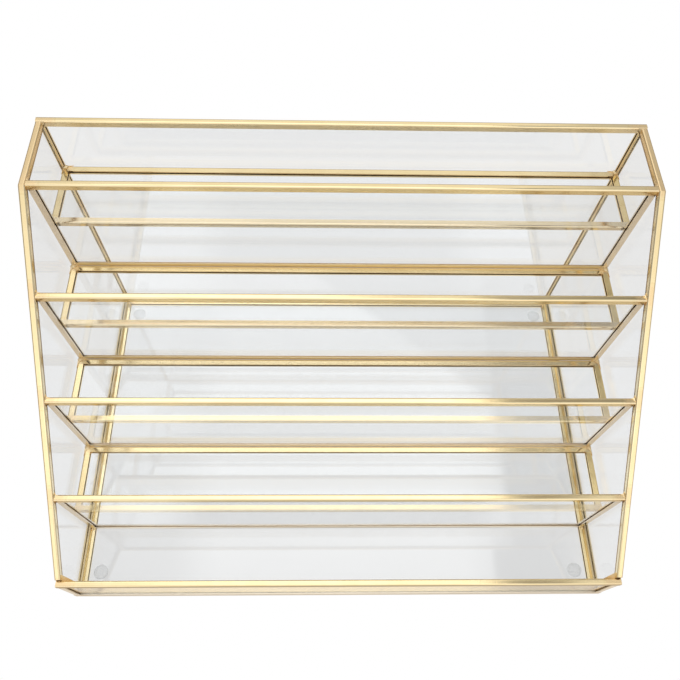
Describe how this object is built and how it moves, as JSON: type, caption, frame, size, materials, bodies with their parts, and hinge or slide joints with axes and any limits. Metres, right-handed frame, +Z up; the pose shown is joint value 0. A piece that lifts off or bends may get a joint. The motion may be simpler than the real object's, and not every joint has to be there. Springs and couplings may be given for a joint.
{
  "type": "tiered display rack",
  "caption": "Free-standing stepped display rack of clear glass panes edged in soldered brass channel, with a low lip along each tier that keeps small bottles in place.",
  "frame": {"origin": "on the standing surface, under the middle of the rack's footprint", "axes": "+X along the rails to the viewer's right, +Y to the back, +Z up; the front lip faces -Y"},
  "size_m": [0.4, 0.265, 0.2285],
  "materials": {
    "brass_channel": "polished, soldered",
    "clear_glass": "clear",
    "clear_rubber": "clear, soft"
  },
  "bodies": {
    "root": {"base_front_rail": "brass_channel", "base_rear_rail": "brass_channel", "left_base_rail": "brass_channel", "right_base_rail": "brass_channel", "left_back_post": "brass_channel", "right_back_post": "brass_channel", "left_lip_post": "brass_channel", "right_lip_post": "brass_channel", "top_back_rail": "brass_channel", "front_lip_rail": "brass_channel", "left_top_rail": "brass_channel", "right_top_rail": "brass_channel", "left_slanted_rail": "brass_channel", "right_slanted_rail": "brass_channel", "riser_1_top_rail": "brass_channel", "riser_1_foot_rail": "brass_channel", "riser_1_left_rail": "brass_channel", "riser_1_right_rail": "brass_channel", "shelf_1_rear_rail": "brass_channel", "shelf_1_front_rail": "brass_channel", "shelf_1_left_rail": "brass_channel", "shelf_1_right_rail": "brass_channel", "riser_2_top_rail": "brass_channel", "riser_2_foot_rail": "brass_channel", "riser_2_left_rail": "brass_channel", "riser_2_right_rail": "brass_channel", "shelf_2_rear_rail": "brass_channel", "shelf_2_front_rail": "brass_channel", "shelf_2_left_rail": "brass_channel", "shelf_2_right_rail": "brass_channel", "riser_3_top_rail": "brass_channel", "riser_3_foot_rail": "brass_channel", "riser_3_left_rail": "brass_channel", "riser_3_right_rail": "brass_channel", "shelf_3_rear_rail": "brass_channel", "shelf_3_front_rail": "brass_channel", "shelf_3_left_rail": "brass_channel", "shelf_3_right_rail": "brass_channel", "riser_4_top_rail": "brass_channel", "riser_4_foot_rail": "brass_channel", "riser_4_left_rail": "brass_channel", "riser_4_right_rail": "brass_channel", "shelf_4_rear_rail": "brass_channel", "shelf_4_front_rail": "brass_channel", "shelf_4_left_rail": "brass_channel", "shelf_4_right_rail": "brass_channel", "base_plate": "clear_glass", "back_pane": "clear_glass", "front_lip_pane": "clear_glass", "left_side_pane": "clear_glass", "right_side_pane": "clear_glass", "riser_1_pane": "clear_glass", "shelf_1_pane": "clear_glass", "riser_2_pane": "clear_glass", "shelf_2_pane": "clear_glass", "riser_3_pane": "clear_glass", "shelf_3_pane": "clear_glass", "riser_4_pane": "clear_glass", "shelf_4_pane": "clear_glass", "bumper_feet": "clear_rubber"}
  },
  "joints": []
}
